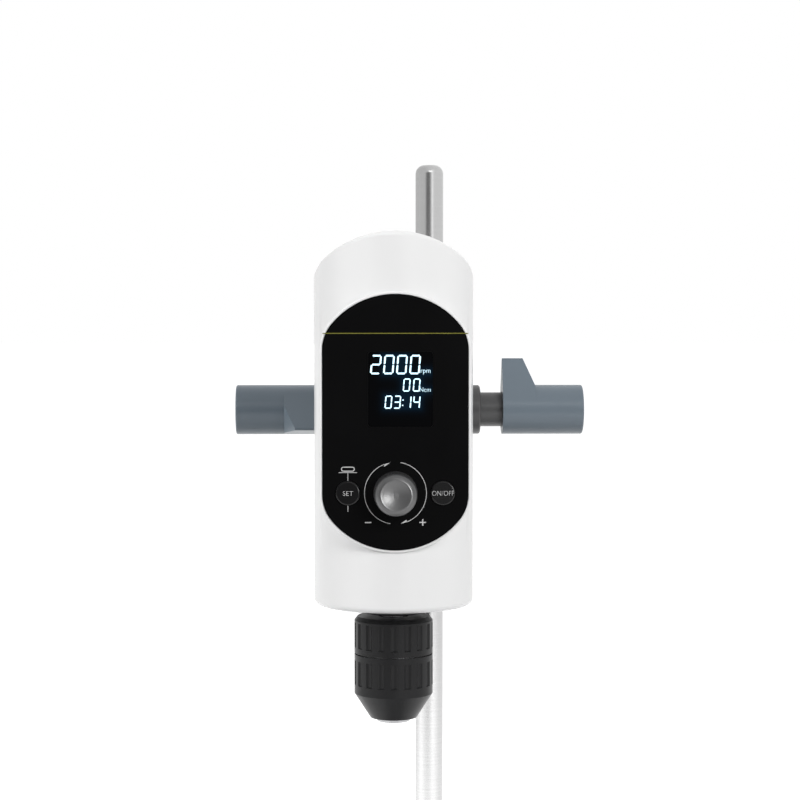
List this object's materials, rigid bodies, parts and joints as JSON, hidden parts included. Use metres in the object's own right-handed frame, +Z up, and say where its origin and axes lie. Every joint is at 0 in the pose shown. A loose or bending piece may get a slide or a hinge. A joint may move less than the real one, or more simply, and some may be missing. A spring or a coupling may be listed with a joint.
{
  "type": "overhead stirrer",
  "caption": "Overhead laboratory stirrer: motor head with display panel and keyless chuck, clamped to a rod on a plate stand.",
  "frame": {"origin": "on the bench, under the middle of the base plate", "axes": "+Z up along the stand rod; -Y towards the operator, where the control panel faces; +X to the operator's right"},
  "size_m": [0.23, 0.32, 0.6],
  "materials": {
    "housing_white": "satin painted shell",
    "panel_black": "gloss",
    "lens_black": "gloss",
    "knob_grey": "satin",
    "button_black": "gloss",
    "clamp_knob_blue_grey": "satin",
    "clamp_dark": "satin anodised",
    "base_paint": "fine texture",
    "foot_rubber": "matt",
    "rod_steel": "polished",
    "screw_steel": "plain",
    "sleeve_black": "moulded",
    "chuck_steel": "turned",
    "bearing_black": "anodised",
    "circuit_green": "solder mask",
    "part_black": "moulded",
    "aluminium": "milled",
    "inlet_black": "moulded",
    "panel_print": "screen print",
    "display_glow": "lit display"
  },
  "bodies": {
    "base": {"base_plate": "base_paint", "base_feet": "foot_rubber", "rod_boss": "clamp_dark"},
    "rod": {"stand_rod": "rod_steel", "rod_washer": "screw_steel", "rod_screw": "screw_steel"},
    "clamp": {"clamp_block": "clamp_dark", "rod_clamp_bush": "clamp_dark", "arm_clamp_bush": "clamp_dark"},
    "rod_stud": {"rod_clamp_stud": "screw_steel"},
    "rod_knob": {"rod_clamp_knob": "clamp_knob_blue_grey"},
    "arm_stud": {"arm_clamp_stud": "screw_steel"},
    "arm_knob": {"arm_clamp_knob": "clamp_knob_blue_grey"},
    "arm": {"support_arm": "rod_steel"},
    "head": {"arm_flange": "aluminium", "arm_flange_screws": "screw_steel", "front_housing": "housing_white", "rear_housing": "housing_white", "housing_screws": "screw_steel", "control_panel": "panel_black", "display_lens": "lens_black", "display_module": "part_black", "control_board": "circuit_green", "board_standoffs": "part_black", "board_screws": "screw_steel", "encoder": "part_black", "button_switches": "part_black", "bottom_plate": "housing_white", "bottom_screws": "screw_steel", "bearing_housing": "bearing_black", "bearing_screws": "screw_steel", "spindle_bearings": "chuck_steel", "motor_posts": "aluminium", "motor_plate": "aluminium", "motor_can": "screw_steel", "motor_screws": "screw_steel", "motor_bearings": "chuck_steel", "motor_stator": "screw_steel", "drive_board": "circuit_green", "drive_board_standoffs": "part_black", "power_inlet": "inlet_black", "inlet_screws": "screw_steel"},
    "dial": {"control_knob": "knob_grey", "encoder_shaft": "aluminium"},
    "set_key": {"set_button": "button_black"},
    "on_off_key": {"on_off_button": "button_black"},
    "drive": {"spindle": "chuck_steel", "shaft_coupling": "aluminium", "motor_rotor": "screw_steel", "chuck_body": "chuck_steel", "chuck_rear_sleeve": "sleeve_black"},
    "chuck_sleeve": {"chuck_front_sleeve": "sleeve_black", "chuck_nut": "chuck_steel"},
    "jaw_1": {"chuck_jaw_1": "chuck_steel"},
    "jaw_2": {"chuck_jaw_2": "chuck_steel"},
    "jaw_3": {"chuck_jaw_3": "chuck_steel"}
  },
  "joints": [
    {"name": "stand_swivel", "type": "hinge", "parent": "base", "child": "rod", "pos_m": [0, 0.118, 0.05], "axis": [0, 0, 1], "range_deg": [-90, 90]},
    {"name": "clamp_height", "type": "slide", "parent": "rod", "child": "clamp", "axis": [0, 0, 1], "range_m": [-0.25, 0.1]},
    {"name": "rod_stud_feed", "type": "slide", "parent": "clamp", "child": "rod_stud", "axis": [1, 0, 0], "range_m": [0, 0.003]},
    {"name": "rod_knob_turn", "type": "hinge", "parent": "rod_stud", "child": "rod_knob", "pos_m": [0, 0.118, 0.459], "axis": [1, 0, 0], "range_deg": [0, 720]},
    {"name": "arm_stud_feed", "type": "slide", "parent": "clamp", "child": "arm_stud", "axis": [-1, 0, 0], "range_m": [0, 0.003]},
    {"name": "arm_knob_turn", "type": "hinge", "parent": "arm_stud", "child": "arm_knob", "pos_m": [-0.023, 0.118, 0.459], "axis": [-1, 0, 0], "range_deg": [0, 720]},
    {"name": "arm_reach", "type": "slide", "parent": "clamp", "child": "arm", "axis": [0, 1, 0], "range_m": [-0.018, 0.012]},
    {"name": "head_tilt", "type": "hinge", "parent": "arm", "child": "head", "pos_m": [-0.023, 0.09, 0.459], "axis": [0, 1, 0], "range_deg": [-45, 45]},
    {"name": "dial_turn", "type": "hinge", "parent": "head", "child": "dial", "pos_m": [-0.023, -0.038, 0.4235], "axis": [0, 1, 0], "continuous": true},
    {"name": "set_press", "type": "slide", "parent": "head", "child": "set_key", "axis": [0, 1, 0], "range_m": [0, 0.001], "stiffness_N_per_m": 1000, "springref_m": -0.0005},
    {"name": "on_off_press", "type": "slide", "parent": "head", "child": "on_off_key", "axis": [0, 1, 0], "range_m": [0, 0.001], "stiffness_N_per_m": 1000, "springref_m": -0.0005},
    {"name": "spindle_spin", "type": "hinge", "parent": "head", "child": "drive", "pos_m": [-0.023, 0.012, 0.361], "axis": [0, 0, 1], "continuous": true},
    {"name": "sleeve_turn", "type": "hinge", "parent": "drive", "child": "chuck_sleeve", "pos_m": [-0.023, 0.012, 0.328], "axis": [0, 0, 1], "range_deg": [0, 2520]},
    {"name": "jaw_1_feed", "type": "slide", "parent": "drive", "child": "jaw_1", "axis": [-0.2588, 0, -0.9659], "range_m": [0, 0.0182]},
    {"name": "jaw_2_feed", "type": "slide", "parent": "drive", "child": "jaw_2", "axis": [0.1294, -0.2241, -0.9659], "range_m": [0, 0.0182]},
    {"name": "jaw_3_feed", "type": "slide", "parent": "drive", "child": "jaw_3", "axis": [0.1294, 0.2241, -0.9659], "range_m": [0, 0.0182]}
  ],
  "couplings": [
    {"joint": "rod_knob_turn", "follows": "rod_stud_feed", "rad_per_m": 4188.8},
    {"joint": "arm_knob_turn", "follows": "arm_stud_feed", "rad_per_m": 4188.8},
    {"joint": "sleeve_turn", "follows": "jaw_1_feed", "rad_per_m": 2416.6},
    {"joint": "jaw_2_feed", "follows": "jaw_1_feed", "ratio": 1},
    {"joint": "jaw_3_feed", "follows": "jaw_1_feed", "ratio": 1}
  ]
}
